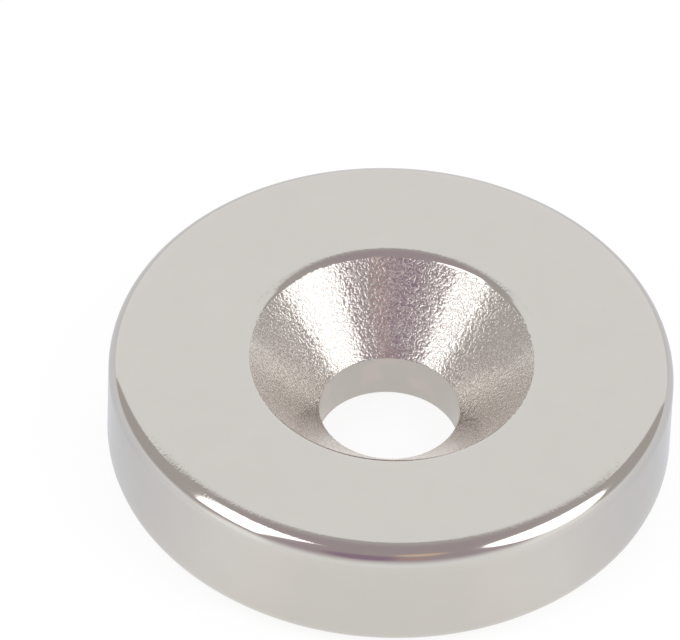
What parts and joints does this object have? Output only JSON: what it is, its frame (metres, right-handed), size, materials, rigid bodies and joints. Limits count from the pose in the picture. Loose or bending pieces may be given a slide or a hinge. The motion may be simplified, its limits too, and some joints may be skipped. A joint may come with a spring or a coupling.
{
  "type": "countersunk ring magnet",
  "caption": "Flat round ring magnet, nickel plated, with rounded edges and a countersunk screw hole, screwed down to hold or catch a steel part.",
  "frame": {"origin": "centre of the flat back face, on the axis of the screw hole", "axes": "+Z along the axis of the screw hole, out of the countersunk face; a body of revolution, so X and Y are free"},
  "size_m": [0.018, 0.018, 0.004],
  "materials": {
    "nickel_plate": "bright nickel plate, smooth on the faces and pebbled in the countersink"
  },
  "bodies": {
    "root": {"ring_magnet": "nickel_plate"}
  },
  "joints": []
}
